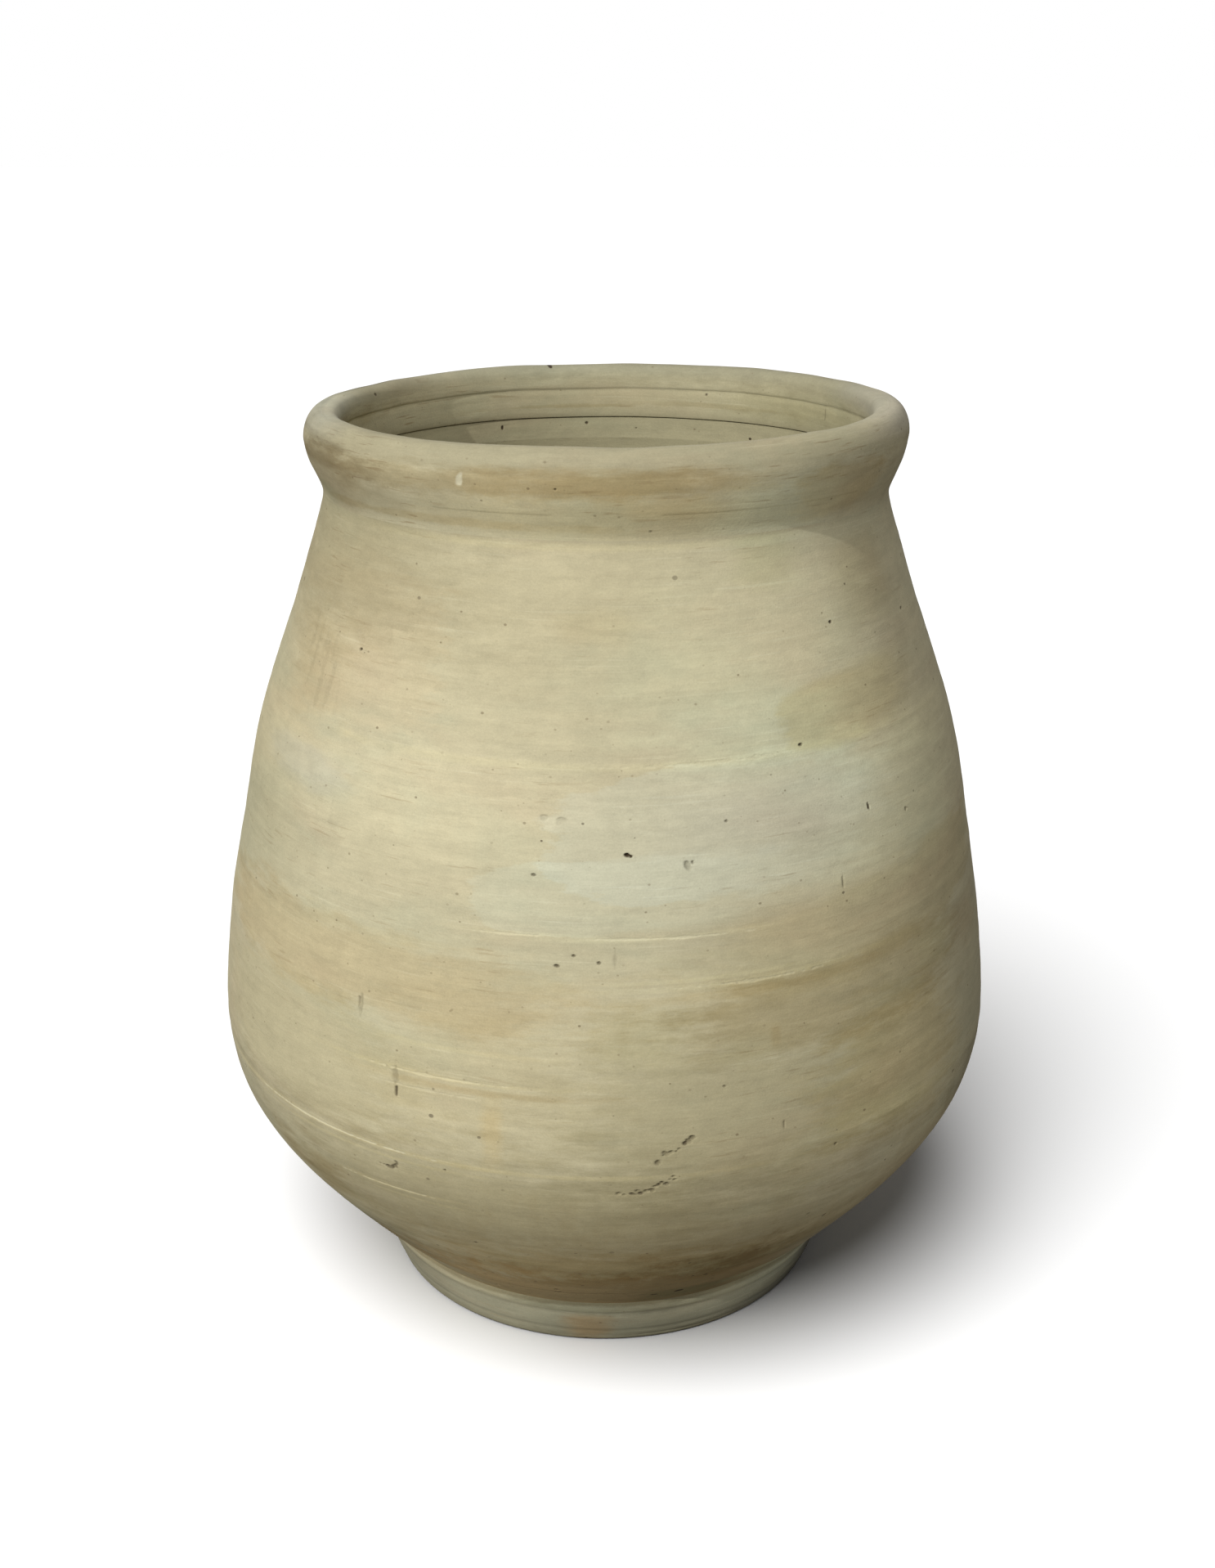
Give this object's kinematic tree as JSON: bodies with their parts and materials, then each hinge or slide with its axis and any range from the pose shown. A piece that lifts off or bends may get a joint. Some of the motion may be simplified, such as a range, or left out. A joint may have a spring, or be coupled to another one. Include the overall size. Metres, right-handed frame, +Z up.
{
  "type": "olive jar",
  "caption": "Large unglazed clay storage jar with a wide rolled mouth, a soft shoulder, a full low belly and a ring foot, made of luted sections.",
  "frame": {"origin": "centre of the foot's resting face", "axes": "+Z up along the jar's axis of turning, -Y towards the side that the picture shows"},
  "size_m": [0.6, 0.6, 0.688],
  "materials": {
    "foot_clay": "matt unglazed clay, pale greenish buff",
    "base_clay": "matt unglazed clay, stained brown",
    "body_clay": "matt unglazed clay, wiped in rings, buff with green and pink blushes",
    "neck_clay": "matt unglazed clay, cream buff"
  },
  "bodies": {
    "root": {"foot_ring": "foot_clay", "base_slab": "base_clay", "corner_coil": "base_clay", "lower_bowl": "body_clay", "lower_belly": "body_clay", "upper_belly": "body_clay", "shoulder": "body_clay", "neck_collar": "neck_clay", "rim_roll": "neck_clay"}
  },
  "joints": []
}
